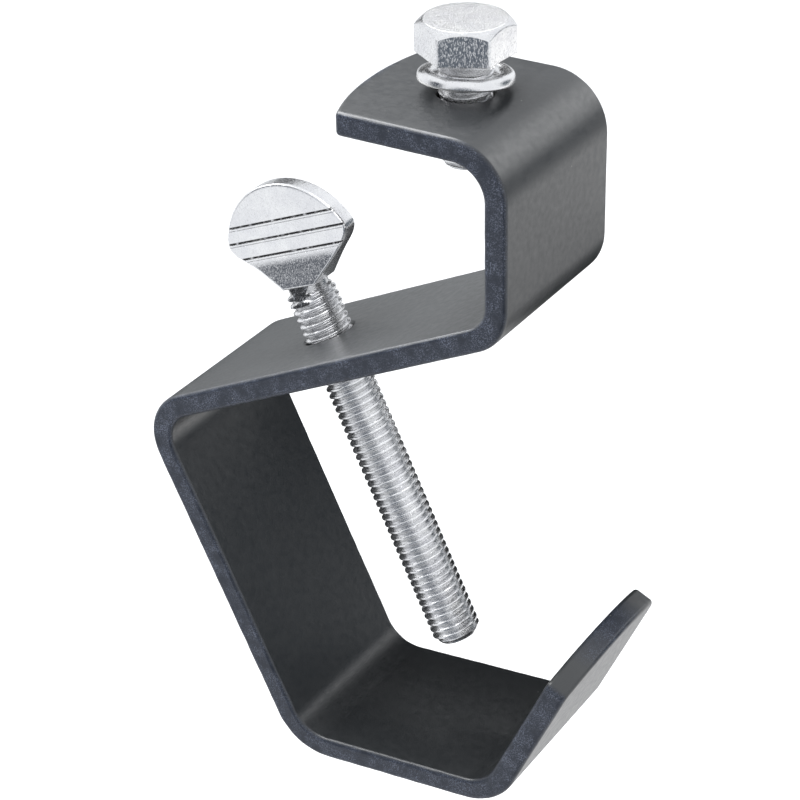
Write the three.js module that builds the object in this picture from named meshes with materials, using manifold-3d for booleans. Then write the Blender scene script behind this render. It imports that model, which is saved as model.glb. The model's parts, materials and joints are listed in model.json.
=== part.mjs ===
// Hook clamp for hanging a luminaire from a horizontal pipe.
// A flat steel bar is bent into a hook with a flat bracket above it. A thumb screw with a spade head
// runs through the hook and pinches the pipe, and a hex bolt with a lock washer holds the luminaire.
// Millimetres, +Z up. The origin is on the axis of a pipe seated in the hook, and Y runs along the pipe.
import * as THREE from 'three';
import { mergeVertices } from 'three/addons/utils/BufferGeometryUtils.js';
import Module from 'manifold-3d';

const wasm = await Module();
wasm.setup();

// ---------- Driving dimensions ----------
const inch = 25.4;
const gap = 0.3; // between pieces that touch

const pipeDiameter = 48.3;

const bar = {
  width: 1.5 * inch,
  thickness: 4.6,
  endRadius: 49, // both ends of the bar are cut to this arc
  cornerRadius: 0.7, // from the arc to the bar's edges
};

// The legs of the bar in order, from the bracket's free end to the hook's lip. A length runs between the
// sharp corners of the face that is on top at the start, a heading is in degrees above +X, and a bend is
// the inside radius of the bend that the leg starts with.
const legs = [
  { name: 'bracket', heading: 0, length: 38 },
  { name: 'web', heading: -90, length: 37.4, bend: 6.5 },
  { name: 'shelf', heading: -154.1, length: 86.7, bend: 5.5 },
  { name: 'back', heading: -64.6, length: 72, bend: 6.5 },
  { name: 'floor', heading: 5.1, length: 42.6, bend: 7.5 },
  { name: 'lip', heading: 65.2, length: 36.3, bend: 8.5 },
];
const boltFromEnd = 19.1; // bolt hole to the bracket's free end
const screwFromBend = 53.3; // thumb screw hole to the corner of web and shelf

// M10 coarse thread on both screws
const thread = {
  radius: 5,
  rootRadius: 4.08,
  pitch: 1.5,
  stepsPerTurn: 16,
};
const holeRadius = 5.4;

const screw = {
  lean: 0.8, // its hole is this much off square, in degrees
  reach: 63.3, // end of the screw below the shelf
  threadTop: 14.2, // end of the thread above the shelf's underside
  tipLength: 1.6,
};

const spade = {
  neckWidth: 8,
  neckThickness: 7.2,
  flatStart: 12.2, // the neck's flats cut into the thread from here up to the foot
  foot: 15.7, // the spade's start above the shelf's underside
  shoulderWidth: 25.2,
  shoulder: 22.4,
  cornerWidth: 31, // the corner that is rounded off between the shoulder and the crown
  corner: 24.6,
  bladeThickness: 3.6,
  bladeStart: 22, // above here the blade has one thickness
  crownRadius: 15.8,
  crownCentre: 20.8,
  crownStart: THREE.MathUtils.degToRad(20.7),
  offset: 0.6, // the forged head stands a little askew and beside the axis
  lean: THREE.MathUtils.degToRad(2.6),
  turn: THREE.MathUtils.degToRad(-0.5), // where the screw has come to rest
  grooves: [22, 25.4, 28.6],
  grooveWidth: 0.9,
  grooveDepth: 0.3,
};

const bolt = {
  raised: 7.5, // underside of the head above the bracket
  length: 21,
  plainLength: 3.2,
  plainRadius: 4.88,
  tipLength: 1.5,
  acrossFlats: 15.9,
  headHeight: 6.4,
  chamfer: THREE.MathUtils.degToRad(39),
  cornerAngle: THREE.MathUtils.degToRad(27),
};

const washer = {
  outerRadius: 8.8,
  innerRadius: 5.75,
  thickness: 2.3,
  lead: 0.7, // how far the split ends stand apart
  splitAngle: 7, // width of the split, in degrees
  splitHeading: 60, // where the split is, in degrees from +X
  tilt: THREE.MathUtils.degToRad(8.5), // it lies with one side propped up on the thread
  tiltHeading: THREE.MathUtils.degToRad(-85), // the raised side
};

// ---------- Materials ----------
const paint = new THREE.MeshStandardMaterial({ color: 0x2b2c30, roughness: 0.55, metalness: 0.1 });
const zinc = new THREE.MeshStandardMaterial({ color: 0xd4d7da, roughness: 0.28, metalness: 1 });

// ---------- Solids ----------
function toSolid(geometry) {
  const bare = geometry.clone();
  bare.deleteAttribute('normal');
  bare.deleteAttribute('uv');
  const merged = mergeVertices(bare, 1e-4);
  const mesh = new wasm.Mesh({
    numProp: 3,
    vertProperties: new Float32Array(merged.attributes.position.array),
    triVerts: new Uint32Array(merged.index.array),
  });
  return new wasm.Manifold(mesh);
}

function toGeometry(solid) {
  const mesh = solid.getMesh();
  const geometry = new THREE.BufferGeometry();
  geometry.setAttribute('position', new THREE.BufferAttribute(new Float32Array(mesh.vertProperties), 3));
  geometry.setIndex(new THREE.BufferAttribute(new Uint32Array(mesh.triVerts), 1));
  geometry.computeVertexNormals();
  return geometry;
}

function makePiece(name, geometry, material) {
  const piece = new THREE.Mesh(geometry, material);
  piece.name = name;
  return piece;
}

// A solid of revolution about Z from [radius, height] pairs, which run from the axis and back to it.
function turned(profile, segments = 48) {
  const points = profile.map(([radius, height]) => new THREE.Vector2(radius, height));
  return new THREE.LatheGeometry(points, segments).rotateX(Math.PI / 2);
}

function extruded(shape, depth, curveSegments = 8) {
  return new THREE.ExtrudeGeometry(shape, { depth, curveSegments, bevelEnabled: false });
}

// ---------- Path of the bar ----------
// Directions and points of the path are pairs in the XZ plane.
const direction = (degrees) => {
  const angle = THREE.MathUtils.degToRad(degrees);
  return new THREE.Vector2(Math.cos(angle), Math.sin(angle));
};
const leftOf = (d) => new THREE.Vector2(-d.y, d.x);
const step = (from, d, length) => from.clone().addScaledVector(d, length);

function pathCorners() {
  const corners = [new THREE.Vector2(-boltFromEnd, 0)];
  for (const leg of legs) corners.push(step(corners.at(-1), direction(leg.heading), leg.length));
  return corners;
}

// The axis of the pipe that rests on both the floor and the lip.
function pipeCentre(corners) {
  const [floor, lip] = legs.slice(-2).map((leg) => direction(leg.heading));
  const bisector = lip.clone().sub(floor).normalize();
  const halfAngle = Math.acos(bisector.dot(lip));
  return step(corners.at(-2), bisector, pipeDiameter / 2 / Math.sin(halfAngle));
}

const rawCorners = pathCorners();
const origin = pipeCentre(rawCorners);
const corners = rawCorners.map((corner) => corner.clone().sub(origin));

function bends() {
  return legs.slice(1).map((leg, i) => {
    const before = direction(legs[i].heading);
    const turn = THREE.MathUtils.degToRad(leg.heading - legs[i].heading);
    const turnsLeft = turn > 0;
    const faceRadius = turnsLeft ? leg.bend : leg.bend + bar.thickness;
    const backRadius = turnsLeft ? leg.bend + bar.thickness : leg.bend;
    const side = turnsLeft ? 1 : -1;
    const tangent = step(corners[i + 1], before, -faceRadius * Math.tan(Math.abs(turn) / 2));
    const centre = step(tangent, leftOf(before), side * faceRadius);
    const start = THREE.MathUtils.degToRad(legs[i].heading) - (side * Math.PI) / 2;
    return { centre, faceRadius, backRadius, start, end: start + turn, turnsLeft };
  });
}

function barOutline() {
  const first = leftOf(direction(legs[0].heading));
  const last = leftOf(direction(legs.at(-1).heading));
  const all = bends();
  const shape = new THREE.Shape();
  shape.moveTo(corners[0].x, corners[0].y);
  shape.lineTo(corners[0].x + boltFromEnd / 2, corners[0].y);
  for (const bend of all) {
    shape.absarc(bend.centre.x, bend.centre.y, bend.faceRadius, bend.start, bend.end, !bend.turnsLeft);
  }
  shape.lineTo(corners.at(-1).x, corners.at(-1).y);
  const lipBack = step(corners.at(-1), last, -bar.thickness);
  shape.lineTo(lipBack.x, lipBack.y);
  for (const bend of all.reverse()) {
    shape.absarc(bend.centre.x, bend.centre.y, bend.backRadius, bend.end, bend.start, bend.turnsLeft);
  }
  const bracketBack = step(corners[0], first, -bar.thickness);
  shape.lineTo(bracketBack.x, bracketBack.y);
  return shape;
}

// What is cut away from an end of the bar to leave it round. The end is at (0, 0) and points along +X.
function endTrimmer() {
  const { endRadius, cornerRadius, thickness } = bar;
  const half = bar.width / 2;
  const reach = half + 1;
  const y = half - cornerRadius;
  const x = Math.sqrt((endRadius - cornerRadius) ** 2 - y ** 2) - endRadius;
  const angle = Math.atan2(y, x + endRadius);
  const shape = new THREE.Shape();
  shape.moveTo(x, -reach);
  shape.lineTo(x, -half);
  shape.absarc(x, -y, cornerRadius, -Math.PI / 2, -angle, false);
  shape.absarc(-endRadius, 0, endRadius, -angle, angle, false);
  shape.absarc(x, y, cornerRadius, angle, Math.PI / 2, false);
  shape.lineTo(x, reach);
  shape.lineTo(thickness, reach);
  shape.lineTo(thickness, -reach);
  return extruded(shape, 4 * thickness, 10).translate(0, 0, -2 * thickness);
}

// Places a geometry with its X along a direction of the path, its Y along the pipe.
function placeOnPath(geometry, point, d) {
  const along = new THREE.Vector3(d.x, 0, d.y);
  const across = new THREE.Vector3(0, 1, 0);
  const matrix = new THREE.Matrix4().makeBasis(along, across, along.clone().cross(across));
  return geometry.applyMatrix4(matrix.setPosition(point.x, 0, point.y));
}

function hole(point, d) {
  const cylinder = new THREE.CylinderGeometry(holeRadius, holeRadius, 4 * bar.thickness, 40);
  return toSolid(placeOnPath(cylinder.rotateZ(-Math.PI / 2), point, d));
}

// The bolt's frame: origin on top of the bracket at the hole, Z up the bolt.
const boltFrame = new THREE.Matrix4().makeTranslation(corners[0].x + boltFromEnd, 0, corners[0].y);

// The screw's frame: origin in the shelf's underside at the hole, Z up the screw, X nearly along the shelf.
const screwPoint = step(corners[2], direction(legs[2].heading), screwFromBend);
const screwHeading = legs[2].heading - 90 - screw.lean;
const screwUp = direction(screwHeading);
const screwSide = direction(screwHeading - 90);
const screwFrame = new THREE.Matrix4().makeBasis(
  new THREE.Vector3(screwSide.x, 0, screwSide.y),
  new THREE.Vector3(0, 1, 0),
  new THREE.Vector3(screwUp.x, 0, screwUp.y),
).setPosition(screwPoint.x, 0, screwPoint.y);

function hookStrip() {
  const blank = extruded(barOutline(), bar.width, 5).rotateX(Math.PI / 2).translate(0, bar.width / 2, 0);
  const bracketOut = direction(legs[0].heading + 180);
  const lipOut = direction(legs.at(-1).heading);
  const cuts = [
    toSolid(placeOnPath(endTrimmer(), corners[0], bracketOut)),
    toSolid(placeOnPath(endTrimmer(), corners.at(-1), lipOut)),
    hole(new THREE.Vector2(corners[0].x + boltFromEnd, corners[0].y), new THREE.Vector2(0, 1)),
    hole(screwPoint, screwUp),
  ];
  return toGeometry(cuts.reduce((solid, cut) => solid.subtract(cut), toSolid(blank)));
}

// ---------- Threads ----------
// A closed right-hand thread along Z that runs at least from bottom to top.
function helix(bottom, top) {
  const { radius, rootRadius, pitch, stepsPerTurn } = thread;
  const profile = [
    [rootRadius, 0],
    [rootRadius, pitch / 4],
    [radius, pitch * (9 / 16)],
    [radius, pitch * (11 / 16)],
  ];
  const sides = profile.length;
  const turns = Math.ceil((top - bottom) / pitch) + 3;
  const count = turns * stepsPerTurn;
  const positions = [];
  for (let i = 0; i <= count; i += 1) {
    const angle = (i / stepsPerTurn) * 2 * Math.PI;
    for (const [r, rise] of profile) {
      const z = bottom - 2 * pitch + rise + (i / stepsPerTurn) * pitch;
      positions.push(r * Math.cos(angle), r * Math.sin(angle), z);
    }
  }
  // past the profile's last point comes the first point of the next turn
  const at = (i, j) => (j < sides ? i * sides + j : (i + stepsPerTurn) * sides);
  const triangles = [];
  for (let i = 0; i < count; i += 1) {
    const quads = i + 1 + stepsPerTurn > count ? sides - 1 : sides;
    for (let j = 0; j < quads; j += 1) {
      triangles.push(at(i, j), at(i + 1, j), at(i + 1, j + 1));
      triangles.push(at(i, j), at(i + 1, j + 1), at(i, j + 1));
    }
  }
  const lowerRim = [];
  for (let i = 0; i <= stepsPerTurn; i += 1) lowerRim.push(at(i, 0));
  for (let j = sides - 1; j > 0; j -= 1) lowerRim.push(at(0, j));
  const upperRim = [];
  for (let i = count; i >= count - stepsPerTurn; i -= 1) upperRim.push(at(i, sides - 1));
  for (let j = 0; j < sides - 1; j += 1) upperRim.push(at(count, j));
  for (const [rim, height] of [[lowerRim, bottom - 3 * pitch], [upperRim, bottom + turns * pitch]]) {
    const centre = positions.length / 3;
    positions.push(0, 0, height);
    rim.forEach((vertex, k) => triangles.push(centre, rim[(k + 1) % rim.length], vertex));
  }
  const geometry = new THREE.BufferGeometry();
  geometry.setAttribute('position', new THREE.Float32BufferAttribute(positions, 3));
  geometry.setIndex(triangles);
  return geometry;
}

// A threaded rod from bottom to top.
function threadedRod(bottom, top) {
  const outside = turned([[0, bottom], [thread.radius + 1, bottom], [thread.radius + 1, top], [0, top]]);
  return toSolid(helix(bottom, top)).intersect(toSolid(outside));
}

// The chamfered end of a screw. It is a solid of its own, so that it can feed without turning.
function screwEnd(bottom, length) {
  const chamfer = 0.8;
  return turned([
    [0, bottom],
    [thread.rootRadius - 0.2, bottom],
    [thread.rootRadius - 0.2 + chamfer, bottom + chamfer],
    [thread.rootRadius - 0.2 + chamfer, bottom + length],
    [0, bottom + length],
  ]);
}

// ---------- Thumb screw ----------
// The spade seen from its face.
function spadeOutline() {
  const { shoulder, corner, crownRadius, crownCentre, crownStart } = spade;
  const neckX = spade.neckWidth / 2;
  const shoulderX = spade.shoulderWidth / 2;
  const cornerX = spade.cornerWidth / 2;
  const crownX = crownRadius * Math.cos(crownStart);
  const crownZ = crownCentre + crownRadius * Math.sin(crownStart);
  const shape = new THREE.Shape();
  shape.moveTo(neckX, spade.foot);
  shape.lineTo(shoulderX, shoulder);
  shape.quadraticCurveTo(cornerX, corner, crownX, crownZ);
  shape.absarc(0, crownCentre, crownRadius, crownStart, Math.PI - crownStart, false);
  shape.quadraticCurveTo(-cornerX, corner, -shoulderX, shoulder);
  shape.lineTo(-neckX, spade.foot);
  return shape;
}

// The spade seen from its edge: as thick as the neck at its foot, then an even blade.
function spadeSide() {
  const neck = spade.neckThickness / 2;
  const blade = spade.bladeThickness / 2;
  const top = spade.crownCentre + spade.crownRadius + 1;
  const points = [[neck, spade.foot - 1], [neck, spade.foot], [blade, spade.bladeStart], [blade, top]];
  const mirrored = points.map(([y, z]) => [-y, z]).reverse();
  return new THREE.Shape([...points, ...mirrored].map(([y, z]) => new THREE.Vector2(y, z)));
}

function spadeHead() {
  const depth = 2 * spade.neckThickness;
  const front = extruded(spadeOutline(), depth, 10).rotateX(Math.PI / 2).translate(0, depth / 2, 0);
  const width = 4 * spade.crownRadius;
  const turnToSide = new THREE.Matrix4().makeBasis(
    new THREE.Vector3(0, 1, 0),
    new THREE.Vector3(0, 0, 1),
    new THREE.Vector3(1, 0, 0),
  );
  const side = extruded(spadeSide(), width).applyMatrix4(turnToSide).translate(-width / 2, 0, 0);
  let solid = toSolid(front).intersect(toSolid(side));
  for (const height of spade.grooves) {
    for (const face of [-1, 1]) {
      const groove = new THREE.BoxGeometry(width, 2 * spade.grooveDepth, spade.grooveWidth);
      groove.translate(0, (face * spade.bladeThickness) / 2, height + spade.grooveWidth / 2);
      solid = solid.subtract(toSolid(groove));
    }
  }
  return toGeometry(solid);
}

// The round neck between the thread and the spade, and the threaded rod below it, with a flat on two sides.
function flattedRod() {
  const { neckWidth, neckThickness, flatStart, foot } = spade;
  const radius = neckWidth / 2;
  const bottom = screw.threadTop - 1;
  const top = foot + 1;
  const neck = turned([[0, bottom], [radius, bottom], [radius, top], [0, top]]);
  let rod = threadedRod(-screw.reach + screw.tipLength + gap, screw.threadTop).add(toSolid(neck));
  for (const face of [-1, 1]) {
    const flat = new THREE.BoxGeometry(4 * radius, neckThickness, top + 1 - flatStart);
    flat.translate(0, face * neckThickness, (flatStart + top + 1) / 2).rotateZ(spade.turn);
    rod = rod.subtract(toSolid(flat));
  }
  return rod;
}

function thumbScrew() {
  const group = new THREE.Group();
  group.applyMatrix4(screwFrame);
  const head = spadeHead().translate(spade.offset, 0, -spade.foot);
  head.rotateY(spade.lean).translate(0, 0, spade.foot).rotateZ(spade.turn);
  const tip = screwEnd(-screw.reach, screw.tipLength);
  group.add(makePiece('thumb_screw', toGeometry(flattedRod().add(toSolid(head))), zinc.clone()));
  group.add(makePiece('thumb_screw_tip', toGeometry(toSolid(tip)), zinc.clone()));
  return group;
}

// ---------- Bracket bolt ----------
function hexHead() {
  const radius = bolt.acrossFlats / 2 / Math.cos(Math.PI / 6);
  const topRadius = 0.47 * bolt.acrossFlats;
  const low = bolt.raised;
  const high = low + bolt.headHeight;
  const slope = Math.tan(bolt.chamfer);
  const hexagon = turned([[0, low], [radius, low], [radius, high], [0, high]], 6);
  hexagon.rotateZ(bolt.cornerAngle - Math.PI / 6);
  const chamfer = turned([
    [0, low - 1],
    [radius + 1, low - 1],
    [radius + 1, high - (radius + 1 - topRadius) * slope],
    [topRadius, high],
    [0, high],
  ]);
  return toSolid(hexagon).intersect(toSolid(chamfer));
}

function bracketBolt() {
  const group = new THREE.Group();
  group.applyMatrix4(boltFrame);
  const end = bolt.raised - bolt.length;
  const shank = turned([
    [0, bolt.raised - bolt.plainLength],
    [bolt.plainRadius, bolt.raised - bolt.plainLength],
    [bolt.plainRadius, bolt.raised + 1],
    [0, bolt.raised + 1],
  ]);
  const rod = threadedRod(end + bolt.tipLength + gap, bolt.raised - bolt.plainLength + 0.5);
  const solid = rod.add(toSolid(shank)).add(hexHead());
  group.add(makePiece('hex_bolt', toGeometry(solid), zinc.clone()));
  group.add(makePiece('hex_bolt_tip', toGeometry(toSolid(screwEnd(end, bolt.tipLength))), zinc.clone()));
  return group;
}

// ---------- Lock washer ----------
// A flat coil of one turn, with its lower end at height 0.
function splitRing() {
  const steps = 60;
  const start = THREE.MathUtils.degToRad(washer.splitHeading + washer.splitAngle / 2);
  const sweep = THREE.MathUtils.degToRad(360 - washer.splitAngle);
  const section = [
    [washer.innerRadius, 0],
    [washer.outerRadius, 0],
    [washer.outerRadius, washer.thickness],
    [washer.innerRadius, washer.thickness],
  ];
  const positions = [];
  const triangles = [];
  for (let i = 0; i <= steps; i += 1) {
    const angle = start + (sweep * i) / steps;
    const rise = (washer.lead * i) / steps;
    for (const [radius, height] of section) {
      positions.push(radius * Math.cos(angle), radius * Math.sin(angle), height + rise);
    }
  }
  for (let i = 0; i < steps; i += 1) {
    for (let j = 0; j < 4; j += 1) {
      const [a, b] = [i * 4 + j, i * 4 + ((j + 1) % 4)];
      triangles.push(a, a + 4, b + 4, a, b + 4, b);
    }
  }
  const last = steps * 4;
  triangles.push(0, 1, 2, 0, 2, 3, last, last + 2, last + 1, last, last + 3, last + 2);
  const geometry = new THREE.BufferGeometry();
  geometry.setAttribute('position', new THREE.Float32BufferAttribute(positions, 3));
  geometry.setIndex(triangles);
  return geometry;
}

// The washer pivots on the edge that rests on the bracket, and lies flat once it is tilted back.
function lockWasher() {
  const height = washer.thickness + washer.lead;
  const sway = washer.outerRadius * (1 - Math.cos(washer.tilt)) + (height / 2) * Math.sin(washer.tilt);
  const offset = sway / 2; // of the flat washer's centre, towards the raised side
  const frame = new THREE.Group();
  frame.applyMatrix4(boltFrame);
  frame.rotation.z = washer.tiltHeading + Math.PI / 2;
  const pivot = new THREE.Group();
  pivot.position.set(0, washer.outerRadius - offset, gap);
  pivot.rotation.x = -washer.tilt;
  const ring = splitRing().translate(0, -washer.outerRadius, 0);
  pivot.add(makePiece('lock_washer', toGeometry(toSolid(ring)), zinc.clone()));
  frame.add(pivot);
  return frame;
}

// ---------- Assembly ----------
const hookClamp = new THREE.Group();
hookClamp.name = 'hook_clamp';
hookClamp.add(makePiece('hook_strip', hookStrip(), paint));
hookClamp.add(thumbScrew());
hookClamp.add(bracketBolt());
hookClamp.add(lockWasher());

export default hookClamp;
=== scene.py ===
"""The looks of a hook clamp for stage lighting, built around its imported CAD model.

Every mesh is drawn in millimetres and made into metres when it becomes a piece.
"""
import json
import math

import bmesh
import bpy
from mathutils import Matrix, Vector, noise


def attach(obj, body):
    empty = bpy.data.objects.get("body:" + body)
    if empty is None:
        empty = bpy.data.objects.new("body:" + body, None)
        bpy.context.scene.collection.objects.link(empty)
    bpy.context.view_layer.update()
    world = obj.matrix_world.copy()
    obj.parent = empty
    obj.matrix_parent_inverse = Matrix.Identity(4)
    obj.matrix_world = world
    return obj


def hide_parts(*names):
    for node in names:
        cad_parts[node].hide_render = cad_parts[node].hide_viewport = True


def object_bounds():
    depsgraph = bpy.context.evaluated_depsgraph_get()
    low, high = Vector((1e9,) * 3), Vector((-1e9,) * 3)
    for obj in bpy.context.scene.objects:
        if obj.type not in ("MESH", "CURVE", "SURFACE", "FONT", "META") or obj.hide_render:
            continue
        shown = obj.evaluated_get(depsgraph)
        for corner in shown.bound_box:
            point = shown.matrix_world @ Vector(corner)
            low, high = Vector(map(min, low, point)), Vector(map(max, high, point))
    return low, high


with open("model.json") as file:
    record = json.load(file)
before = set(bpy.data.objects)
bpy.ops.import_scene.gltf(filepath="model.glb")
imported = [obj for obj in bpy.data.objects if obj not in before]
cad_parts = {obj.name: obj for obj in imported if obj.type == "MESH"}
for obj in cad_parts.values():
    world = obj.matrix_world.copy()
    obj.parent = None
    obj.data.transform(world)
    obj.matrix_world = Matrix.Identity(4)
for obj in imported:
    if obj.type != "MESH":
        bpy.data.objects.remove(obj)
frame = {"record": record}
cad_low, cad_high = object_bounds()

MM = 0.001
JOINTS = {joint["name"]: joint for joint in frame["record"]["behaviour"]["joints"]}


# ---------- Driving dimensions, in millimetres unless a comment says otherwise ----------
PIPE_DIAMETER = 48.3

BAR_WIDTH = 38.1
BAR_THICKNESS = 4.6
BAR_EDGE = 0.85  # the rounding of the bar's long edges
BAR_END_RADIUS = 49
BAR_CORNERS = [1.0, 1.2, 1.8, 3.2]  # radii at the bracket's end near and far, and at the lip's

# The bar's legs as (heading in degrees, length between sharp corners, inside radius of the bend
# before it). They follow the face that is on top at the bracket.
LEGS = [
    (0, 38, None),
    (-90, 37.4, 6.5),
    (-154.1, 86.7, 5.5),
    (-64.6, 72, 6.5),
    (5.1, 42.6, 7.5),
    (65.2, 36.3, 8.5),
]
SHELF_LEG = 2  # its place in LEGS
BOLT_FROM_END = 19.1
SCREW_LEAN = 0.8  # degrees that its hole is off square
BAR_STEP = 0.9  # length of the slices that let the bar bend
BAR_END_WEAR_AND_SHADE = 1.5  # how far the wear and the painted shade of its ends reach
EDGE_WEAR = (0.07, 0.05)  # how far the long edges wander across the bar and in height

THREAD_PITCH = 1.5
THREAD_COLUMNS = 72
# One pitch of the thread as (height, radius), from root to root.
THREAD_PROFILE = [
    (0.00, 4.08), (0.10, 4.11), (0.17, 4.24), (0.47, 4.80), (0.56, 4.94),
    (0.75, 4.99), (0.94, 4.94), (1.03, 4.80), (1.33, 4.24), (1.40, 4.11),
]
THREAD_CREST_START = 4.7  # the radius from which the crests are nicked
THREAD_CREST_HEIGHT = 0.3
THREAD_NICK = 0.011  # how deep, as a part of the radius
ROOT_SHADE = (4.25, 4.13, 0.3)  # painted shade in the thread's roots: the radii where it starts and is full, and how much it is
END_CAP = 0.55  # height of a screw's end that is a piece of its own
END_RADIUS = 3.95
END_PROFILE = [
    (0.6, 0.05), (2.2, 0.03), (3.3, 0), (3.62, 0.06), (3.9, 0.3), (END_RADIUS, 0.5), (3.3, 0.52),
]
END_SLOPE = 1.1  # of the chamfer on the first turns
HOLE_RADIUS = 5.06
HOLE_CHAMFER = 0.45
CUTTER_PAST = 3  # how far a cutter goes past the bar's faces

SCREW_REACH = 63.3
SCREW_THREAD_TOP = 14.2
SCREW_RUNOUT = (0.3, 2.2)  # how far the thread's top stands off the neck, and its slope below that
SPADE_NECK = 8.0
SPADE_NECK_THICKNESS = 7.5
SPADE_FLAT_START = 11
SPADE_FLAT_DEPTH = 0.7  # of the flats on the neck, below the taper of the spade
# How much painted shade the flats of the neck get.
SPADE_FLAT_SHADE = 0.85
SPADE_FOOT = 15.7
SPADE_SHOULDER_WIDTH = 25.2
SPADE_SHOULDER = 22.4
SPADE_CORNER_WIDTH = 30.6
SPADE_CORNER = 24.6
SPADE_BLADE = 3.6
SPADE_BLADE_START = 22.0
SPADE_FILLET = 2.8  # height over which the blade's faces curve out towards the neck
SPADE_CROWN_RADIUS = 15.75
SPADE_CROWN_CENTRE = 20.8
SPADE_CROWN_START = math.radians(20.7)
SPADE_OFFSET = 0.5
SPADE_LEAN = math.radians(2.6)
SPADE_TURN = math.radians(-0.5)
SPADE_GROOVES = [22.0, 25.4, 28.6]
# Each groove is a pair of scored lines, as (height above the groove's place, width, depth).
SPADE_GROOVE_LINES = [(0.02, 0.2, 0.1), (0.48, 0.52, 0.26)]
SPADE_RIM = 0.5

BOLT_RAISED = 7.5
BOLT_LENGTH = 21
BOLT_PLAIN_LENGTH = 3.2
BOLT_PLAIN_RADIUS = 4.88
HEX_ACROSS_FLATS = 15.9
HEX_HEIGHT = 6.4
HEX_CHAMFER = math.radians(39)
HEX_CORNER_ANGLE = math.radians(27)
HEX_TOP_RADIUS = 0.47 * HEX_ACROSS_FLATS
HEX_COLUMNS = 240
HEX_SOFTNESS = 0.25  # height over which its lower edge is rounded
HEX_CORNER_CUT = 0.12  # how much is rounded off its corners

WASHER_OUTER = 8.8
WASHER_INNER = 5.75
WASHER_THICKNESS = 2.3
WASHER_LEAD = 0.7  # how much the end of its coil is above the start
WASHER_POINTS = 32  # round its section
WASHER_STEPS = 180  # along its coil
WASHER_WAIST = 0.32  # where it is widest, as a part of its thickness
WASHER_SQUARENESS = [3.5, 2.4]  # of the lower and the upper half of its section; 2 is round
WASHER_SPLIT = math.radians(5)
WASHER_SPLIT_HEADING = math.radians(60)
WASHER_SPLIT_SLANT = math.radians(14)
WASHER_TILT = math.radians(8.5)
WASHER_HEADING = math.radians(-85)
WASHER_GAP = 0.3  # what is left free under the side on which it rests

# The surround's light, and patches of it as (azimuth, elevation, radius, softness, colour). The
# first four are in degrees.
TENT_COLOUR = (0.95, 0.97, 1.0, 1)
TENT_PATCHES = [
    (152, -36, 24, 10, (1.35, 1.35, 1.35, 1)),
    (-137, -6, 14, 8, (0.78, 0.80, 0.82, 1)),
    (22, -27, 28, 8, (0.12, 0.14, 0.17, 1)),
    (-42, 1, 18, 6, (0.06, 0.07, 0.09, 1)),
    (136, 0, 17, 6, (0.04, 0.06, 0.08, 1)),
    (190, -42, 15, 6, (0.05, 0.055, 0.07, 1)),
]

# Black flags behind the object: standing ones as (azimuth, distance, width, bottom, top), in
# degrees and metres, and a level one as (left, right), (front, rear) and its height.
STANDING_FLAGS = [(-142, 0.45, 0.42, 0.11, 0.30), (-144, 0.10, 0.20, -0.03, 0.040)]
LYING_FLAG = ((-0.11, 0.05), (0.027, 0.11), 0.040)

# Softboxes as (name, azimuth, elevation, distance, size, power, what they light), in degrees,
# metres and watts.
PAINTED = ["hook_bar"]
HEADS = ["hex_bolt_head", "spring_washer"]
SCREWS = ["thumb_screw_rod", "thumb_screw_spade", "hex_bolt_thread"]
SOFTBOXES = [
    ("floor wash", 0, 80, 1.5, 2.0, 60, ["floor"]),
    ("top softbox", -90, 54, 0.34, 0.3, 2.5, PAINTED),
    ("bend softbox", 146, 30, 0.5, 0.3, 0.44, PAINTED),
    ("lip softbox", 190, -42, 0.5, 0.4, 0.6, PAINTED),
    ("head softbox", -148, 48, 0.8, 0.4, 1.2, HEADS),
    ("left softbox", -70, 30, 0.8, 0.3, 1.3, SCREWS),
    ("high softbox", 60, 60, 0.8, 0.7, 5, SCREWS),
]
FLOOR_HALF = 6.0  # metres from its middle to its sides
FLOOR_DROP = 0.6  # metres that it is below the object
MATTE_ROUGHNESS = 0.9

CAMERA_TARGET = (-13.24, 0, 46.65)
CAMERA_DISTANCE = 462.76
CAMERA_AZIMUTH = 32.10  # degrees
CAMERA_ELEVATION = 29.81  # degrees
CAMERA_ROLL = math.radians(-1.21)
CAMERA_LENS = 107.61


# ---------- Mesh helpers ----------
def make_piece(name, mesh_in_mm, body, material, replaced=()):
    """A piece from a bmesh in millimetres, which moves with a CAD body."""
    mesh = bpy.data.meshes.new(name)
    bmesh.ops.recalc_face_normals(mesh_in_mm, faces=mesh_in_mm.faces)
    mesh_in_mm.to_mesh(mesh)
    mesh_in_mm.free()
    mesh.transform(Matrix.Scale(MM, 4))
    mesh.materials.append(material)
    piece = bpy.data.objects.new(name, mesh)
    bpy.context.scene.collection.objects.link(piece)
    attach(piece, body)
    if replaced:
        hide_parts(*replaced)
    return piece


def shade(piece, angle):
    """Smooth shading with sharp edges above an angle. The normals keep the large faces flat."""
    for polygon in piece.data.polygons:
        polygon.use_smooth = True
    piece.data.set_sharp_from_angle(angle=math.radians(angle))
    weighted = piece.modifiers.new("weighted normals", "WEIGHTED_NORMAL")
    weighted.keep_sharp = True
    weighted.weight = 80


def grid_mesh(rows):
    """A closed mesh from rows of points. Each row is a ring, and a face closes each end."""
    bm = bmesh.new()
    rings = [[bm.verts.new(point) for point in row] for row in rows]
    count = len(rows[0])
    for lower, upper in zip(rings, rings[1:]):
        for i in range(count):
            j = (i + 1) % count
            bm.faces.new((lower[i], lower[j], upper[j], upper[i]))
    bm.faces.new(list(reversed(rings[0])))
    bm.faces.new(rings[-1])
    return bm


def inset(outline, distance):
    """The outline moved inwards. It runs anticlockwise."""
    count = len(outline)
    moved = []
    for i, point in enumerate(outline):
        before = (point - outline[i - 1]).normalized()
        after = (outline[(i + 1) % count] - point).normalized()
        middle = (before + after).normalized()
        stretch = max(middle.dot(after), 0.4)
        moved.append(point + Vector((-middle.y, middle.x)) * (distance / stretch))
    return moved


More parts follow.
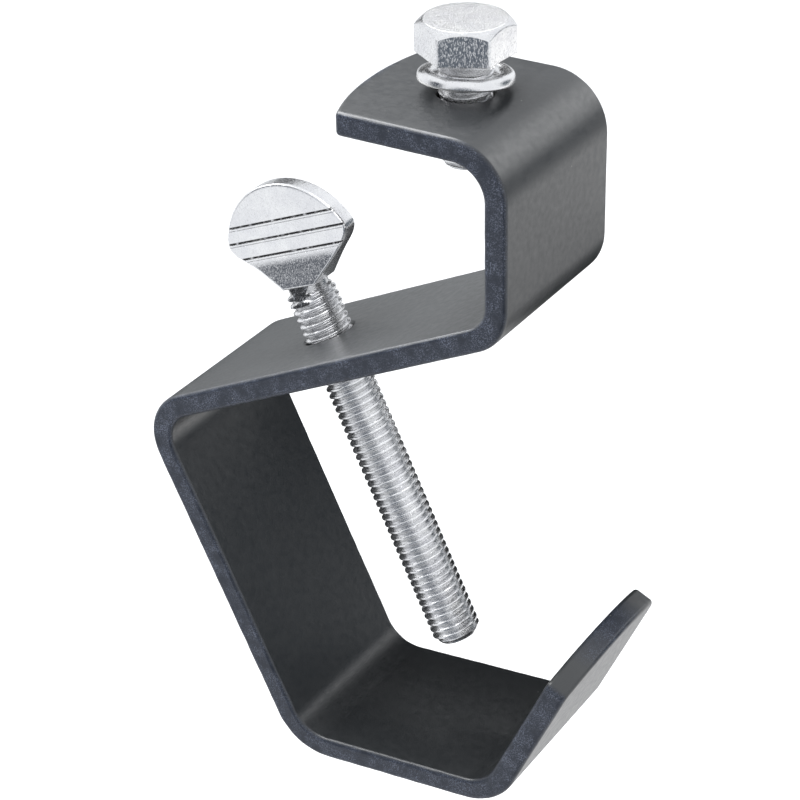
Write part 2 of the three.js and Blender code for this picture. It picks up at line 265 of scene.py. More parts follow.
def rounded_plate(outline, half_thickness, radius, steps=5):
    """A flat plate in XY with rounded edges. Its top and bottom are at +-half_thickness."""
    rows = []
    for side in (-1, 1):
        for k in range(steps + 1):
            turn = (k if side > 0 else steps - k) / steps * math.pi / 2
            inward = radius * (1 - math.cos(turn))
            height = side * (half_thickness - radius + radius * math.sin(turn))
            rows.append([Vector((p.x, p.y, height)) for p in inset(outline, inward)])
    return grid_mesh(rows)


def arc(centre, radius, start, end, steps):
    """Points of an arc, both ends included."""
    points = []
    for k in range(steps + 1):
        angle = start + (end - start) * k / steps
        points.append(Vector(centre) + radius * Vector((math.cos(angle), math.sin(angle))))
    return points


def curve(start, control, end, steps):
    """Points of a quadratic curve, without its ends."""
    a, b, c = Vector(start), Vector(control), Vector(end)
    points = []
    for k in range(1, steps):
        t = k / steps
        points.append(a * (1 - t) ** 2 + b * (2 * t * (1 - t)) + c * t**2)
    return points


def slice_mesh(bm, places, axis):
    """Cuts all faces at places along an axis, so that the mesh can follow a curve there."""
    normal = Vector((0, 0, 0))
    normal[axis] = 1
    for place in places:
        geometry = bm.verts[:] + bm.edges[:] + bm.faces[:]
        bmesh.ops.bisect_plane(
            bm, geom=geometry, dist=1e-5, plane_co=normal * place, plane_no=normal)


def turned(profile, segments):
    """A closed solid turned about Z. Its (radius, height) pairs start and end off the axis."""
    rows = []
    for radius, height in profile:
        angles = [2 * math.pi * i / segments for i in range(segments)]
        rows.append([(radius * math.cos(a), radius * math.sin(a), height) for a in angles])
    return grid_mesh(rows)


def wobble(point, size, seed):
    """Smooth noise from -1 to 1 that changes over a length of size."""
    return noise.noise(Vector(point) / size + Vector((seed, 2 * seed, 3 * seed)))


# ---------- Frames of the screws ----------
def to_mm(place):
    return Vector(place) / MM


def frame_matrix(joint, side):
    """Origin at the joint, Z against its axis, and X nearest to side."""
    up = -Vector(joint["axis"]).normalized()
    across = up.cross(Vector(side)).normalized()
    along = across.cross(up)
    matrix = Matrix((along, across, up)).transposed().to_4x4()
    matrix.translation = to_mm(joint["pos_m"])
    return matrix


SCREW_FRAME = frame_matrix(JOINTS["screw_turn"], (1, 0, 0))
BOLT_FRAME = frame_matrix(JOINTS["bolt_turn"], (1, 0, 0))
SCREW_TILT = math.atan2(-SCREW_FRAME[0][2], SCREW_FRAME[2][2])


# ---------- Nodes ----------
def add_node(tree, kind, inputs=(), **settings):
    """A node with its settings, and its inputs set to values or joined to sockets."""
    node = tree.nodes.new(kind)
    for name, value in settings.items():
        setattr(node, name, value)
    for key, value in dict(inputs).items():
        if isinstance(value, bpy.types.NodeSocket):
            tree.links.new(value, node.inputs[key])
        else:
            node.inputs[key].default_value = value
    return node


def new_material(name):
    material = bpy.data.materials.new(name)
    material.use_nodes = True
    tree = material.node_tree
    tree.nodes.clear()
    place = tree.nodes.new("ShaderNodeTexCoord").outputs["Object"]
    return material, tree, place


def stretched(tree, place, stretch, turn):
    """The place in a frame turned about Y, where features grow by a stretch along each axis."""
    keys = {"Vector": place, "Scale": stretch, "Rotation": (0, turn, 0)}
    return add_node(tree, "ShaderNodeMapping", keys, vector_type="TEXTURE").outputs["Vector"]


def grain(tree, place, size, detail=2.0, roughness=0.5):
    """Noise from 0 to 1 with features of a size in millimetres."""
    values = {"Vector": place, "Scale": 1 / (size * MM), "Detail": detail, "Roughness": roughness}
    return add_node(tree, "ShaderNodeTexNoise", values).outputs["Fac"]


def ramp(tree, value, low, high, out_low=0.0, out_high=1.0):
    """The value's range from low to high, stretched to another range."""
    keys = {0: value, 1: low, 2: high, 3: out_low, 4: out_high}
    return add_node(tree, "ShaderNodeMapRange", keys).outputs[0]


def math_node(tree, operation, a, b):
    return add_node(tree, "ShaderNodeMath", {0: a, 1: b}, operation=operation).outputs[0]


def mix(tree, factor, a, b):
    """A mix of two colours."""
    node = add_node(tree, "ShaderNodeMix", data_type="RGBA")
    for index, value in ((0, factor), (6, a), (7, b)):
        if isinstance(value, bpy.types.NodeSocket):
            tree.links.new(value, node.inputs[index])
        else:
            node.inputs[index].default_value = value
    return node.outputs[2]


def bump(tree, height, strength, distance, normal=None):
    keys = {"Height": height, "Strength": strength, "Distance": distance * MM}
    if normal is not None:
        keys["Normal"] = normal
    return add_node(tree, "ShaderNodeBump", keys).outputs["Normal"]


def finish_material(tree, shader):
    output = tree.nodes.new("ShaderNodeOutputMaterial")
    tree.links.new(shader.outputs["BSDF"], output.inputs["Surface"])


def grey(value, blue=1.0):
    return (value, value, value * blue, 1)


def specks(tree, place, spacing, size):
    """Small round specks, one in each cell of a spacing in millimetres: 1 inside and 0 outside."""
    keys = {"Vector": place, "Scale": 1 / (spacing * MM)}
    distance = add_node(tree, "ShaderNodeTexVoronoi", keys).outputs["Distance"]
    return ramp(tree, distance, size / spacing, 0.6 * size / spacing)


def paint_material():
    """Satin black paint with a fine grain, dust and paler worn edges, and painted shade that makes
    the rounded edges and ends darker and bluer.
    """
    material, tree, place = new_material("satin black paint")
    cloud = grain(tree, place, 9, 3)
    fine = grain(tree, place, 0.22, 2, 0.7)
    edge = add_node(tree, "ShaderNodeAttribute", attribute_name="edge").outputs["Fac"]
    base = mix(tree, cloud, (0.0145, 0.0165, 0.0185, 1), (0.021, 0.0235, 0.0255, 1))
    # Painted shade: the rounded edges and ends go darker and bluer.
    base = mix(tree, math_node(tree, "MULTIPLY", edge, 0.85), base, (0.009, 0.014, 0.027, 1))
    patchy = ramp(tree, grain(tree, place, 2.6, 2), 0.30, 0.66)
    worn = math_node(tree, "MULTIPLY", edge, ramp(tree, fine, 0.48, 0.66))
    worn = math_node(tree, "MULTIPLY", worn, patchy)
    base = mix(tree, math_node(tree, "MULTIPLY", worn, 0.8), base, (0.15, 0.17, 0.23, 1))
    dust = math_node(tree, "MULTIPLY", specks(tree, place, 5.5, 0.16), ramp(tree, cloud, 0.5, 0.6))
    base = mix(tree, math_node(tree, "MULTIPLY", dust, 0.7), base, grey(0.35, 0.95))
    rough = ramp(tree, grain(tree, place, 1.3, 3), 0.3, 0.7, 0.33, 0.44)
    sheen = ramp(tree, edge, 0.0, 1.0, 0.95, 0.45)
    peel = bump(tree, grain(tree, place, 1.6, 2), 0.12, 0.05)
    relief = bump(tree, fine, 0.22, 0.04, peel)
    shader = add_node(tree, "ShaderNodeBsdfPrincipled", {
        "Base Color": base, "Roughness": rough, "Normal": relief, "Specular IOR Level": sheen,
    })
    finish_material(tree, shader)
    return material


def zinc_material(name, turn, stretch, relief_strength, speckle_strength, light, dark):
    """Bright zinc plate over worked steel, with marks drawn out one way and painted shade in thread
    roots, in grooves and on the neck's flats.
    """
    material, tree, place = new_material(name)
    drawn = stretched(tree, place, stretch, turn)
    cloud = grain(tree, place, 3.2, 3)
    marks = grain(tree, drawn, 0.24, 3, 0.65)
    speckle = ramp(tree, grain(tree, drawn, 0.17, 1), 0.56, 0.74)
    pits = ramp(tree, grain(tree, place, 0.6, 2), 0.66, 0.74)
    base = mix(tree, ramp(tree, cloud, 0.3, 0.7), light, dark)
    base = mix(tree, math_node(tree, "MULTIPLY", pits, 0.3), base, grey(0.30))
    # Painted shade: near black where a piece marks it, in thread roots, grooves and on the neck's
    # flats, broken up by noise.
    shade_amount = add_node(tree, "ShaderNodeAttribute", attribute_name="painted_shade").outputs["Fac"]
    broken = ramp(tree, grain(tree, place, 0.9, 3), 0.24, 0.46)
    base = mix(tree, math_node(tree, "MULTIPLY", shade_amount, broken), base, grey(0.04))
    rough = ramp(tree, marks, 0.3, 0.7, 0.14, 0.32)
    wave = bump(tree, grain(tree, place, 2.4, 2), 0.25, 0.08)
    dents = bump(tree, speckle, speckle_strength, 0.05, wave)
    relief = bump(tree, marks, relief_strength, 0.05, dents)
    shader = add_node(tree, "ShaderNodeBsdfPrincipled", {
        "Base Color": base, "Roughness": rough, "Normal": relief, "Metallic": 1.0,
    })
    finish_material(tree, shader)
    return material


PAINT = paint_material()
ZINC_TURNED = zinc_material(
    "zinc on the threads", 0, (1, 1, 1), 0.3, 0.3, grey(0.95), grey(0.84, 1.02))
ZINC_SPADE = zinc_material(
    "zinc on the spade", -SCREW_TILT, (1, 1, 2.6), 0.38, 0.32, grey(0.95), grey(0.85, 1.02))
ZINC_HEAD = zinc_material(
    "zinc on the hex head", 0, (1, 1, 3.5), 0.4, 0.8, grey(0.90), grey(0.82, 1.02))
ZINC_SPRING = zinc_material(
    "zinc on the spring steel", 0, (1, 1, 1), 0.2, 0.2, grey(0.93), grey(0.84, 1.01))


# ---------- Bent bar ----------
def heading_vector(degrees):
    return Vector((math.cos(math.radians(degrees)), math.sin(math.radians(degrees))))


def left_of(d):
    return Vector((-d.y, d.x))


def bar_corners():
    """Sharp corners of the bar's path in XZ, with the seated pipe's axis at the origin."""
    corners = [Vector((0, 0))]
    for heading, length, _ in LEGS:
        corners.append(corners[-1] + heading_vector(heading) * length)
    floor, lip = heading_vector(LEGS[-2][0]), heading_vector(LEGS[-1][0])
    bisector = (lip - floor).normalized()
    centre = corners[-2] + bisector * (PIPE_DIAMETER / 2 / math.sin(math.acos(bisector.dot(lip))))
    return [corner - centre for corner in corners]


def bar_spans():
    """The mid-plane's straight and bent spans, each with how far along the bar it starts."""
    corners = bar_corners()
    spans = []
    place = 0
    point = corners[0] - left_of(heading_vector(LEGS[0][0])) * (BAR_THICKNESS / 2)
    for i, (heading, _, _) in enumerate(LEGS):
        d = heading_vector(heading)
        end = corners[i + 1] - left_of(d) * (BAR_THICKNESS / 2)
        if i + 1 < len(LEGS):
            turn = math.radians(LEGS[i + 1][0] - heading)
            side = math.copysign(1, turn)
            face_radius = LEGS[i + 1][2] + (0 if side > 0 else BAR_THICKNESS)
            end = end - d * (face_radius * math.tan(abs(turn) / 2))
        length = (end - point).dot(d)
        spans.append({"start": place, "point": point, "heading": d, "length": length})
        place += spans[-1]["length"]
        if i + 1 < len(LEGS):
            radius = LEGS[i + 1][2] + BAR_THICKNESS / 2
            centre = end + left_of(d) * (side * radius)
            angle = math.atan2((end - centre).y, (end - centre).x)
            spans.append({
                "start": place, "centre": centre, "radius": radius, "side": side,
                "angle": angle, "length": radius * abs(turn),
            })
            place += spans[-1]["length"]
            out = heading_vector(LEGS[i + 1][0])
            point = centre - left_of(out) * (side * radius)
    return spans


def bend(spans, along, across, height):
    """A point of the flat bar, brought to its place on the bent one."""
    span = next((s for s in reversed(spans) if along >= s["start"]), spans[0])
    travel = along - span["start"]
    if "heading" in span:
        flat = span["point"] + span["heading"] * travel + left_of(span["heading"]) * height
    else:
        angle = span["angle"] + span["side"] * travel / span["radius"]
        reach = span["radius"] - span["side"] * height
        flat = span["centre"] + reach * Vector((math.cos(angle), math.sin(angle)))
    return Vector((flat.x, across, flat.y))


def end_points(half, corner_low, corner_high):
    """The outline of a free end that points along +X, from its low side to its high side."""
    low_y, high_y = -half + corner_low, half - corner_high
    low_x = math.sqrt((BAR_END_RADIUS - corner_low) ** 2 - low_y**2) - BAR_END_RADIUS
    high_x = math.sqrt((BAR_END_RADIUS - corner_high) ** 2 - high_y**2) - BAR_END_RADIUS
    low_angle = math.atan2(low_y, low_x + BAR_END_RADIUS)
    high_angle = math.atan2(high_y, high_x + BAR_END_RADIUS)
    points = arc((low_x, low_y), corner_low, -math.pi / 2, low_angle, 6)
    points += arc((-BAR_END_RADIUS, 0), BAR_END_RADIUS, low_angle, high_angle, 40)[1:-1]
    return points + arc((high_x, high_y), corner_high, high_angle, math.pi / 2, 6)


def flat_bar(length):
    """The bar before it is bent, with X along it. Its upper face ends on top of the bracket."""
    half = BAR_WIDTH / 2
    bracket_near, bracket_far, lip_near, lip_far = BAR_CORNERS
    lip_end = [Vector((length + p.x, p.y)) for p in end_points(half, lip_near, lip_far)]
    bracket_end = [Vector((-p.x, -p.y)) for p in end_points(half, bracket_far, bracket_near)]
    return rounded_plate(lip_end + bracket_end, BAR_THICKNESS / 2, BAR_EDGE)


def hole_cutter(place, lean):
    """What is drilled out at a place along the flat bar, with a chamfer at both mouths."""
    half = BAR_THICKNESS / 2
    reach = half + CUTTER_PAST
    mouth = HOLE_RADIUS + HOLE_CHAMFER
    profile = [
        (mouth + CUTTER_PAST, -reach), (mouth, -half), (HOLE_RADIUS, -half + HOLE_CHAMFER),
        (HOLE_RADIUS, half - HOLE_CHAMFER), (mouth, half), (mouth + CUTTER_PAST, reach),
    ]
    bm = turned(profile, 96)
    matrix = Matrix.Translation((place, 0, 0)) @ Matrix.Rotation(lean, 4, "Y")
    bmesh.ops.transform(bm, matrix=matrix, verts=bm.verts)
    return bm


def as_object(name, bm):
    mesh = bpy.data.meshes.new(name)
    bmesh.ops.recalc_face_normals(bm, faces=bm.faces)
    bm.to_mesh(mesh)
    bm.free()
    made = bpy.data.objects.new(name, mesh)
    bpy.context.scene.collection.objects.link(made)
    return made


def cut(bm, cutters):
    """The bmesh with other bmeshes taken away from it."""
    target = as_object("cut target", bm)
    tools = [as_object("cutter", tool) for tool in cutters]
    for tool in tools:
        modifier = target.modifiers.new("cut", "BOOLEAN")
        modifier.operation = "DIFFERENCE"
        modifier.solver = "EXACT"
        modifier.object = tool
    result = target.evaluated_get(bpy.context.evaluated_depsgraph_get()).to_mesh()
    out = bmesh.new()
    out.from_mesh(result)
    for made in [target, *tools]:
        bpy.data.objects.remove(made)
    return out


def hook_bar():
    spans = bar_spans()
    length = spans[-1]["start"] + spans[-1]["length"]
    shelf = spans[2 * SHELF_LEG]  # a bend lies between each two legs
    screw_place = to_mm(JOINTS["screw_turn"]["pos_m"])
    screw_point = Vector((screw_place.x, screw_place.z))
    screw_along = shelf["start"] + (screw_point - shelf["point"]).dot(shelf["heading"])
    cutters = [
        hole_cutter(BOLT_FROM_END, 0),
        hole_cutter(screw_along, math.radians(SCREW_LEAN)),
    ]
    bm = cut(flat_bar(length), cutters)
    bmesh.ops.triangulate(bm, faces=bm.faces)
    slice_mesh(bm, [BAR_STEP * k for k in range(1, int(length / BAR_STEP) + 1)], 0)
    edge = bm.verts.layers.float.new("edge")
    half = BAR_WIDTH / 2
    for vertex in bm.verts:
        along, across, height = vertex.co
        side = max(0, abs(across) - (half - BAR_EDGE)) / BAR_EDGE
        end = max(0, 1 - min(along, length - along) / BAR_END_WEAR_AND_SHADE)
        if side > 0 or end > 0:
            rough = wobble((along, across, 2 * height), 2.2, 3)
            rough += 0.6 * wobble((along, across, 3 * height), 0.9, 8)
            across -= math.copysign(EDGE_WEAR[0] * side * (1 + rough), across)
            height -= math.copysign(EDGE_WEAR[1] * min(1, side + end) * (1 + rough), height)
        vertex[edge] = min(1, side + end)
        vertex.co = bend(spans, along, across, height)
    piece = make_piece("hook_bar", bm, "hook", PAINT, ["hook_strip"])
    shade(piece, 40)


# ---------- Threads ----------
def thread_radius(height, angle):
    """The thread's radius at a height and an angle, for a right-hand thread."""
    place = (height - THREAD_PITCH * angle / (2 * math.pi)) % THREAD_PITCH
    points = THREAD_PROFILE + [(THREAD_PITCH, THREAD_PROFILE[0][1])]
    for (low, low_radius), (high, high_radius) in zip(points, points[1:]):
        if place <= high:
            return low_radius + (high_radius - low_radius) * (place - low) / (high - low)
    return THREAD_PROFILE[0][1]


def threaded_rod(bottom, top, limit, seed):
    """A closed threaded rod. limit(height) is the most that its radius may be there."""
    rows = []
    first = math.floor(bottom / THREAD_PITCH) - 2
    last = math.ceil(top / THREAD_PITCH) + 1
    for turn in range(first, last + 1):
        for rise, _ in THREAD_PROFILE:
            row = []
            for i in range(THREAD_COLUMNS + 1):
                angle = 2 * math.pi * i / THREAD_COLUMNS
                height = turn * THREAD_PITCH + rise + THREAD_PITCH * angle / (2 * math.pi)
                height = min(max(height, bottom), top)
                radius = min(thread_radius(height, angle), limit(height))
                point = Vector((radius * math.cos(angle), radius * math.sin(angle), height))
                nick = wobble(point, 0.8, seed)
                crest = max(0, radius - THREAD_CREST_START) / THREAD_CREST_HEIGHT
                point.xy *= 1 - THREAD_NICK * crest * (1 + nick)
                row.append(point)
            rows.append(row)
    bm = bmesh.new()
    painted_shade = bm.verts.layers.float.new("painted_shade")
    rings = [[bm.verts.new(point) for point in row] for row in rows]
    # Painted shade in the thread's roots, darkest at the smallest radius.
    shade_start, shade_full, shade_amount = ROOT_SHADE
    for vertex in bm.verts:
        depth = (shade_start - vertex.co.xy.length) / (shade_start - shade_full)
        vertex[painted_shade] = shade_amount * max(0, min(1, depth))
    for lower, upper in zip(rings, rings[1:]):
        for i in range(THREAD_COLUMNS):
            bm.faces.new((lower[i], lower[i + 1], upper[i + 1], upper[i]))
    bmesh.ops.remove_doubles(bm, verts=bm.verts, dist=0.004)
    bmesh.ops.dissolve_degenerate(bm, edges=bm.edges, dist=0.001)
    bmesh.ops.holes_fill(bm, edges=[e for e in bm.edges if e.is_boundary], sides=0)
    return bm


# ---------- Thumb screw ----------
def thumb_screw_rod():
    end = -SCREW_REACH + END_CAP

    def limit(height):
        if height > SCREW_THREAD_TOP:
            return SPADE_NECK / 2
        rise, slope = SCREW_RUNOUT
        runout = SPADE_NECK / 2 + slope * (SCREW_THREAD_TOP - height) + rise
        return min(runout, END_RADIUS + END_SLOPE * (height - end))

    bm = threaded_rod(end, SPADE_FOOT + 1, limit, 5)
    painted_shade = bm.verts.layers.float["painted_shade"]
    flat = Matrix.Rotation(-SPADE_TURN, 4, "Z")
    for vertex in bm.verts:
        if vertex.co.z > SPADE_FLAT_START:
            half = blade_half(vertex.co.z) - SPADE_FLAT_DEPTH
            turned_point = flat @ vertex.co
            if abs(turned_point.y) > half:
                turned_point.y = math.copysign(half, turned_point.y)
                # The flats get painted shade.
                vertex[painted_shade] = SPADE_FLAT_SHADE
            vertex.co = flat.inverted() @ turned_point
    bmesh.ops.transform(bm, matrix=SCREW_FRAME, verts=bm.verts)
    rod = make_piece("thumb_screw_rod", bm, "thumb_screw", ZINC_TURNED, ["thumb_screw"])
    shade(rod, 35)


def spade_outline():
    """The spade seen from its face, anticlockwise from its foot."""
    half_neck = SPADE_NECK / 2
    half_shoulder = SPADE_SHOULDER_WIDTH / 2
    half_corner = SPADE_CORNER_WIDTH / 2
    crown = (0, SPADE_CROWN_CENTRE)
    start = SPADE_CROWN_START
    rim = arc(crown, SPADE_CROWN_RADIUS, start, math.pi - start, 90)
    right = [Vector((half_neck, SPADE_FOOT)), Vector((half_shoulder, SPADE_SHOULDER))]
    right += curve(right[1], (half_corner, SPADE_CORNER), rim[0], 12)
    left = [Vector((-p.x, p.y)) for p in reversed(right)]
    return right + rim + left


def blade_half(height):
    """Half of the spade's thickness at a height, without its grooves."""
    neck = SPADE_NECK_THICKNESS / 2
    blade = SPADE_BLADE / 2
    slope = (neck - blade) / (SPADE_BLADE_START - SPADE_FILLET / 2 - SPADE_FOOT)
    below = SPADE_BLADE_START - height
    if below <= 0:
        return blade
    if below < SPADE_FILLET:
        return blade + slope * below**2 / (2 * SPADE_FILLET)
    return blade + slope * (below - SPADE_FILLET / 2)


def groove_depth(height):
    for start in SPADE_GROOVES:
        for rise, width, depth in SPADE_GROOVE_LINES:
            inside = min(height - start - rise, start + rise + width - height)
            if inside > 0:
                return depth * min(1, 3 * inside / width)
    return 0


def spade_head():
    half = SPADE_BLADE / 2
    bm = rounded_plate(spade_outline(), half, SPADE_RIM)
    bmesh.ops.triangulate(bm, faces=bm.faces)
    top = SPADE_CROWN_CENTRE + SPADE_CROWN_RADIUS
    levels = [SPADE_FOOT + 0.5 * k for k in range(1, int(2 * (top - SPADE_FOOT)))]
    for start in SPADE_GROOVES:
        for rise, width, _ in SPADE_GROOVE_LINES:
            levels += [start + rise + width * k / 3 for k in range(4)]
    slice_mesh(bm, sorted(levels), 1)
    # Painted shade in the grooves, darkest where they are deepest.
    painted_shade = bm.verts.layers.float.new("painted_shade")
    deepest = max(depth for _, _, depth in SPADE_GROOVE_LINES)
    for vertex in bm.verts:
        across, height, depth = vertex.co
        groove = groove_depth(height) * max(0, 1 - (half - abs(depth)) / SPADE_RIM)
        vertex[painted_shade] = groove / deepest
        grown = abs(depth) + blade_half(height) - half - groove
        vertex.co = (across, -math.copysign(grown, depth), height)
    lean = Matrix.Translation((0, 0, SPADE_FOOT)) @ Matrix.Rotation(SPADE_LEAN, 4, "Y")
    lean = Matrix.Rotation(SPADE_TURN, 4, "Z") @ lean
    lean = lean @ Matrix.Translation((SPADE_OFFSET, 0, -SPADE_FOOT))
    bmesh.ops.transform(bm, matrix=SCREW_FRAME @ lean, verts=bm.verts)
    shade(make_piece("thumb_screw_spade", bm, "thumb_screw", ZINC_SPADE), 32)


def screw_end(name, frame_of_screw, end, body, node):
    """The flat end of a screw, with a small chamfer."""
    bm = turned([(radius, end + height) for radius, height in END_PROFILE], THREAD_COLUMNS)
    bmesh.ops.transform(bm, matrix=frame_of_screw, verts=bm.verts)
    shade(make_piece(name, bm, body, ZINC_TURNED, [node]), 35)


# ---------- Bracket bolt ----------
def hex_bolt_head():
    apothem = HEX_ACROSS_FLATS / 2
    low, high = BOLT_RAISED, BOLT_RAISED + HEX_HEIGHT
    rows = []

    def hexagon(angle, reach):
        """Distance to the hexagon's side, with rounded corners."""
        turn = (angle - HEX_CORNER_ANGLE) % (math.pi / 3) - math.pi / 6
        side = reach / math.cos(turn)
        corner = reach / math.cos(math.pi / 6) - HEX_CORNER_CUT
        return min(side, corner)

    def chamfer(radius):
        return high - max(0, radius - HEX_TOP_RADIUS) * math.tan(HEX_CHAMFER)

    def ring(radius_of, height_of):
        row = []
        for i in range(HEX_COLUMNS):
            angle = 2 * math.pi * i / HEX_COLUMNS
            radius = radius_of(angle)
            row.append((radius * math.cos(angle), radius * math.sin(angle), height_of(radius)))
        rows.append(row)

    ring(lambda a: 0.6 * apothem, lambda r: low)
    ring(lambda a: min(apothem - 0.2, hexagon(a, apothem)), lambda r: low)
    ring(lambda a: hexagon(a, apothem - 0.3), lambda r: low + 0.02)
    ring(lambda a: hexagon(a, apothem - 0.08), lambda r: low + 0.08)
    ring(lambda a: hexagon(a, apothem), lambda r: low + HEX_SOFTNESS)
    ring(lambda a: hexagon(a, apothem), lambda r: low + HEX_HEIGHT * 0.45)
    ring(lambda a: hexagon(a, apothem), lambda r: chamfer(r) - HEX_SOFTNESS * 0.7)
    ring(lambda a: hexagon(a, apothem - 0.03), lambda r: chamfer(r) - 0.09)
    ring(lambda a: hexagon(a, apothem - 0.13), lambda r: chamfer(r))
    ring(lambda a: HEX_TOP_RADIUS + 0.12, lambda r: chamfer(r))
    ring(lambda a: HEX_TOP_RADIUS, lambda r: high - 0.02)
    ring(lambda a: HEX_TOP_RADIUS - 0.14, lambda r: high)
    ring(lambda a: HEX_TOP_RADIUS * 0.5, lambda r: high - 0.02)
    bm = grid_mesh(rows)
    bmesh.ops.transform(bm, matrix=BOLT_FRAME, verts=bm.verts)
    shade(make_piece("hex_bolt_head", bm, "hex_bolt", ZINC_HEAD, ["hex_bolt"]), 28)


def hex_bolt_shank():
    end = BOLT_RAISED - BOLT_LENGTH + END_CAP
    plain = BOLT_RAISED - BOLT_PLAIN_LENGTH

    def limit(height):
        if height > plain:
            return BOLT_PLAIN_RADIUS
        return min(5, END_RADIUS + END_SLOPE * (height - end))

    bm = threaded_rod(end, plain, limit, 11)
    bmesh.ops.transform(bm, matrix=BOLT_FRAME, verts=bm.verts)
    shade(make_piece("hex_bolt_thread", bm, "hex_bolt", ZINC_TURNED), 35)
    radius = BOLT_PLAIN_RADIUS
    wide = radius + 0.35  # the fillet under the head
    shank = turned([
        (radius - 0.7, plain - 0.4), (radius - 0.1, plain + 0.1), (radius, plain + 0.35),
        (radius, BOLT_RAISED - 0.5), (wide, BOLT_RAISED + 0.05), (wide, BOLT_RAISED + 0.6),
    ], 96)
    bmesh.ops.transform(shank, matrix=BOLT_FRAME, verts=shank.verts)
    shade(make_piece("hex_bolt_shank", shank, "hex_bolt", ZINC_TURNED), 35)


# ---------- Lock washer ----------
def washer_section():
    """The rounded section of the washer's wire as (radius, height) pairs."""
    middle = (WASHER_OUTER + WASHER_INNER) / 2
    half_width = (WASHER_OUTER - WASHER_INNER) / 2
    waist = WASHER_WAIST * WASHER_THICKNESS
    points = []
    for i in range(WASHER_POINTS):
        angle = 2 * math.pi * (i + 0.5) / WASHER_POINTS
        c, s = math.cos(angle), math.sin(angle)
        power = WASHER_SQUARENESS[s > 0]
        size = (abs(c) ** power + abs(s) ** power) ** (-1 / power)
        reach = WASHER_THICKNESS - waist if s > 0 else waist
        points.append((middle + half_width * size * c, waist + reach * size * s))
    return points


def spring_washer():
    section = washer_section()
    start = WASHER_SPLIT_HEADING + WASHER_SPLIT / 2
    sweep = 2 * math.pi - WASHER_SPLIT
    rows = []
    for i in range(WASHER_STEPS + 1):
        row = []
        for radius, height in section:
            slant = math.tan(WASHER_SPLIT_SLANT) * (height - WASHER_THICKNESS / 2) / radius
            angle = start + sweep * i / WASHER_STEPS + slant
            rise = WASHER_LEAD * i / WASHER_STEPS
            row.append((radius * math.cos(angle), radius * math.sin(angle), height + rise))
        rows.append(row)
    bm = grid_mesh(rows)
    height = WASHER_THICKNESS + WASHER_LEAD
    sway = WASHER_OUTER * (1 - math.cos(WASHER_TILT)) + height / 2 * math.sin(WASHER_TILT)
    place = Matrix.Rotation(WASHER_HEADING + math.pi / 2, 4, "Z")
    place @= Matrix.Translation((0, WASHER_OUTER - sway / 2, WASHER_GAP))
    place @= Matrix.Rotation(-WASHER_TILT, 4, "X") @ Matrix.Translation((0, -WASHER_OUTER, 0))
    bmesh.ops.transform(bm, matrix=BOLT_FRAME @ place, verts=bm.verts)
    shade(make_piece("spring_washer", bm, "lock_washer", ZINC_SPRING, ["lock_washer"]), 40)


# ---------- Stage ----------
def direction_of(azimuth, elevation):
    """A unit vector away from the object. Azimuth 0 is in front, along -Y, and 90 is at +X."""
    a, e = math.radians(azimuth), math.radians(elevation)
    return Vector((math.sin(a) * math.cos(e), -math.cos(a) * math.cos(e), math.sin(e)))


def matte_card(name, corners, material_name, value):
    """A flat card with four corners and one shade of grey."""
    mesh = bpy.data.meshes.new(name)
    mesh.from_pydata(corners, [], [(0, 1, 2, 3)])
    card = bpy.data.objects.new(name, mesh)
    bpy.context.scene.collection.objects.link(card)
    material = bpy.data.materials.new(material_name)
    material.use_nodes = True
    shader = material.node_tree.nodes["Principled BSDF"]
    shader.inputs["Base Color"].default_value = grey(value)
    shader.inputs["Roughness"].default_value = MATTE_ROUGHNESS
    mesh.materials.append(material)
    return card


def add_floor():
    half = FLOOR_HALF
    corners = [(-half, -half, 0), (half, -half, 0), (half, half, 0), (-half, half, 0)]
    floor = matte_card("floor", corners, "pale floor", 0.93)
    floor.location.z = cad_low.z - FLOOR_DROP
    floor.visible_glossy = False


def add_light(name, azimuth, elevation, distance, size, power, lit):
    """A square softbox that faces the object and lights only some pieces, as a flagged one does."""
    centre = (cad_low + cad_high) / 2
    back = direction_of(azimuth, elevation)
    data = bpy.data.lights.new(name, "AREA")
    data.size = size
    data.energy = power
    light = bpy.data.objects.new(name, data)
    light.location = centre + back * distance
    light.rotation_mode = "QUATERNION"
    light.rotation_quaternion = back.to_track_quat("Z", "Y")
    bpy.context.scene.collection.objects.link(light)
    receivers = bpy.data.collections.new(name + " receivers")
    for piece in lit:
        receivers.objects.link(bpy.data.objects[piece])
    light.light_linking.receiver_collection = receivers


def standing_flag(azimuth, distance, width, bottom, top):
    """The corners of an upright card that faces the object's axis."""
    centre = direction_of(azimuth, 0) * distance
    across = direction_of(azimuth + 90, 0) * (width / 2)
    low, high = Vector((0, 0, bottom)), Vector((0, 0, top))
    left, right = centre - across, centre + across
    return [left + low, right + low, right + high, left + high]


def add_flag(corners):
    """A black card behind the object, which keeps the light from behind off the hook's floor."""
    flag = matte_card("flag", corners, "black cloth", 0.02)
    flag.visible_camera = False


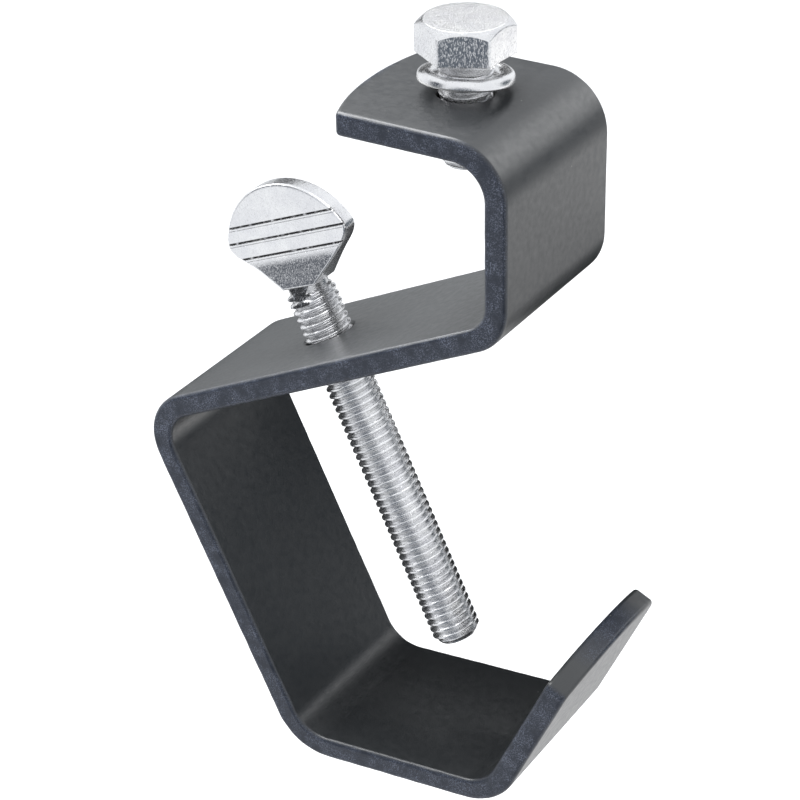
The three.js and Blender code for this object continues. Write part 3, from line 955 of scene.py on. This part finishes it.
def add_world():
    """A white tent with dark openings for polished metal to pick up. The camera sees it all white."""
    world = bpy.data.worlds.new("surround")
    bpy.context.scene.world = world
    world.use_nodes = True
    tree = world.node_tree
    tree.nodes.clear()
    direction = tree.nodes.new("ShaderNodeTexCoord").outputs["Generated"]
    colour = TENT_COLOUR
    for azimuth, elevation, radius, softness, patch in TENT_PATCHES:
        centre = direction_of(azimuth, elevation)
        ends = {0: direction, 1: centre}
        closeness = add_node(tree, "ShaderNodeVectorMath", ends, operation="DOT_PRODUCT")
        outer = math.cos(math.radians(radius + softness))
        inner = math.cos(math.radians(radius - softness))
        colour = mix(tree, ramp(tree, closeness.outputs["Value"], outer, inner), colour, patch)
    tent = add_node(tree, "ShaderNodeBackground", {"Color": colour, "Strength": 1.0})
    plain = add_node(tree, "ShaderNodeBackground", {"Color": (1, 1, 1, 1), "Strength": 1.0})
    seen = tree.nodes.new("ShaderNodeLightPath").outputs["Is Camera Ray"]
    choices = {0: seen, 1: tent.outputs[0], 2: plain.outputs[0]}
    shader = add_node(tree, "ShaderNodeMixShader", choices)
    output = tree.nodes.new("ShaderNodeOutputWorld")
    tree.links.new(shader.outputs[0], output.inputs["Surface"])


def add_camera():
    back = direction_of(CAMERA_AZIMUTH, CAMERA_ELEVATION)
    right = direction_of(CAMERA_AZIMUTH + 90, 0)
    up = back.cross(right)
    rolled_right = math.cos(CAMERA_ROLL) * right + math.sin(CAMERA_ROLL) * up
    rolled_up = math.cos(CAMERA_ROLL) * up - math.sin(CAMERA_ROLL) * right
    data = bpy.data.cameras.new("camera")
    data.sensor_width = 36
    data.lens = CAMERA_LENS
    data.clip_start = 0.01
    camera = bpy.data.objects.new("camera", data)
    matrix = Matrix((rolled_right, rolled_up, back)).transposed().to_4x4()
    matrix.translation = (Vector(CAMERA_TARGET) + back * CAMERA_DISTANCE) * MM
    camera.matrix_world = matrix
    bpy.context.scene.collection.objects.link(camera)
    bpy.context.scene.camera = camera


# ---------- Scene ----------
add_camera()
hook_bar()
thumb_screw_rod()
spade_head()
screw_end("thumb_screw_end", SCREW_FRAME, -SCREW_REACH, "thumb_screw_feed", "thumb_screw_tip")
hex_bolt_head()
hex_bolt_shank()
screw_end("hex_bolt_end", BOLT_FRAME, BOLT_RAISED - BOLT_LENGTH, "hex_bolt_feed", "hex_bolt_tip")
spring_washer()
add_floor()
add_world()
for softbox in SOFTBOXES:
    add_light(*softbox)
for flag in STANDING_FLAGS:
    add_flag(standing_flag(*flag))
(left, right), (front, rear), level = LYING_FLAG
add_flag([(left, front, level), (right, front, level), (right, rear, level), (left, rear, level)])
bpy.context.scene.view_settings.view_transform = "Standard"
